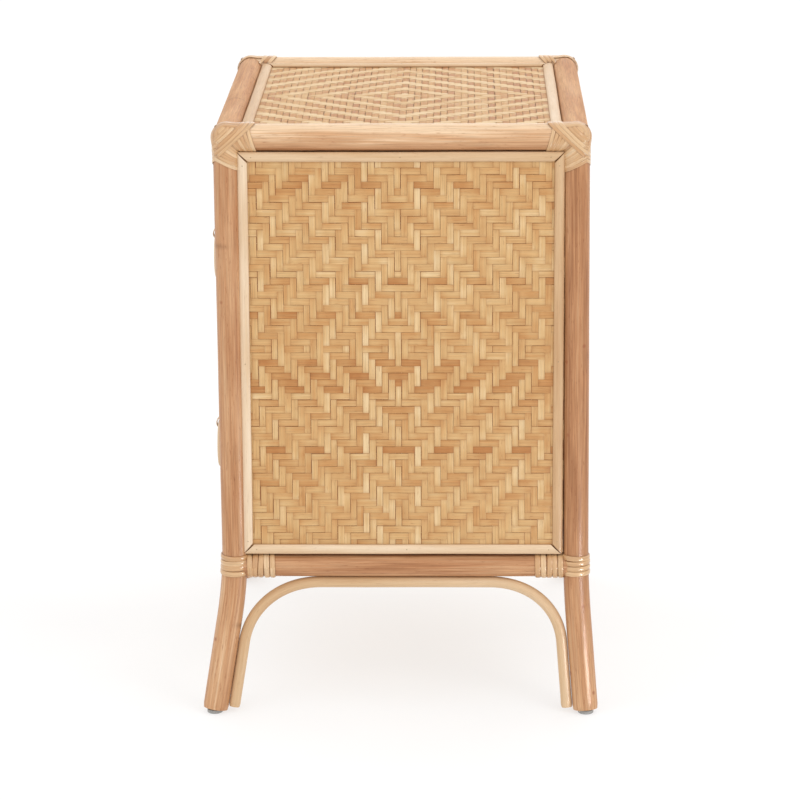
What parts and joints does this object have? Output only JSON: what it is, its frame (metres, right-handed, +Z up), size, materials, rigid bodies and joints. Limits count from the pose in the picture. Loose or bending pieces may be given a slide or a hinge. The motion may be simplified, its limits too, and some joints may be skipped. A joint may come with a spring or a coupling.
{
  "type": "nightstand with drawers",
  "caption": "Free-standing rattan nightstand: pole frame on flared arched legs, diamond-woven panels, sliding drawers with hanging ring pulls.",
  "frame": {"origin": "on the floor, under the middle of the footprint of the flared legs", "axes": "+Z up, the drawers face -Y, +X is the right-hand side as seen from the front"},
  "size_m": [0.5236, 0.434, 0.6531],
  "materials": {
    "rattan_pole": "clear-lacquered peeled rattan pole, light brown with darker nodes and streaks, satin",
    "rattan_core": "cream rattan core, half-round moulding and bent braces, satin lacquer",
    "peel_binding": "flat glossy rattan peel strips, light tan",
    "woven_strips": "flat strips woven in a concentric diamond twill, natural honey tones, satin",
    "plywood": "pale plywood, light sealer",
    "foot_glide": "grey nail-on glide"
  },
  "bodies": {
    "cabinet": {"post_front_left": "rattan_pole", "post_back_left": "rattan_pole", "post_front_right": "rattan_pole", "post_back_right": "rattan_pole", "top_rail_left": "rattan_pole", "top_rail_right": "rattan_pole", "top_rail_front": "rattan_pole", "top_rail_back": "rattan_pole", "bottom_rail_left": "rattan_pole", "bottom_rail_right": "rattan_pole", "bottom_rail_front": "rattan_pole", "bottom_rail_back": "rattan_pole", "arch_left": "rattan_core", "arch_right": "rattan_core", "arch_front": "rattan_core", "arch_back": "rattan_core", "left_board": "plywood", "right_board": "plywood", "back_board": "plywood", "top_board": "plywood", "bottom_board": "plywood", "dust_board": "plywood", "left_weave": "woven_strips", "left_trim": "rattan_core", "right_weave": "woven_strips", "right_trim": "rattan_core", "back_weave": "woven_strips", "back_trim": "rattan_core", "top_weave": "woven_strips", "top_trim": "rattan_core", "corner_binding_front_left": "peel_binding", "lower_binding_front_left": "peel_binding", "glide_front_left": "foot_glide", "corner_binding_back_left": "peel_binding", "lower_binding_back_left": "peel_binding", "glide_back_left": "foot_glide", "corner_binding_front_right": "peel_binding", "lower_binding_front_right": "peel_binding", "glide_front_right": "foot_glide", "corner_binding_back_right": "peel_binding", "lower_binding_back_right": "peel_binding", "glide_back_right": "foot_glide"},
    "lower_drawer": {"lower_drawer_front": "plywood", "lower_drawer_left_side": "plywood", "lower_drawer_right_side": "plywood", "lower_drawer_back": "plywood", "lower_drawer_bottom": "plywood", "lower_drawer_weave": "woven_strips", "lower_drawer_trim": "rattan_core", "lower_pull_strap": "peel_binding"},
    "lower_pull": {"lower_pull_ring": "rattan_core"},
    "upper_drawer": {"upper_drawer_front": "plywood", "upper_drawer_left_side": "plywood", "upper_drawer_right_side": "plywood", "upper_drawer_back": "plywood", "upper_drawer_bottom": "plywood", "upper_drawer_weave": "woven_strips", "upper_drawer_trim": "rattan_core", "upper_pull_strap": "peel_binding"},
    "upper_pull": {"upper_pull_ring": "rattan_core"}
  },
  "joints": [
    {"name": "lower_drawer_slide", "type": "slide", "parent": "cabinet", "child": "lower_drawer", "axis": [0, -1, 0], "range_m": [0, 0.25]},
    {"name": "lower_pull_swing", "type": "hinge", "parent": "lower_drawer", "child": "lower_pull", "pos_m": [0, -0.20705, 0.2637], "axis": [-1, 0, 0], "range_deg": [0, 110]},
    {"name": "upper_drawer_slide", "type": "slide", "parent": "cabinet", "child": "upper_drawer", "axis": [0, -1, 0], "range_m": [0, 0.25]},
    {"name": "upper_pull_swing", "type": "hinge", "parent": "upper_drawer", "child": "upper_pull", "pos_m": [0, -0.20705, 0.4855], "axis": [-1, 0, 0], "range_deg": [0, 110]}
  ]
}
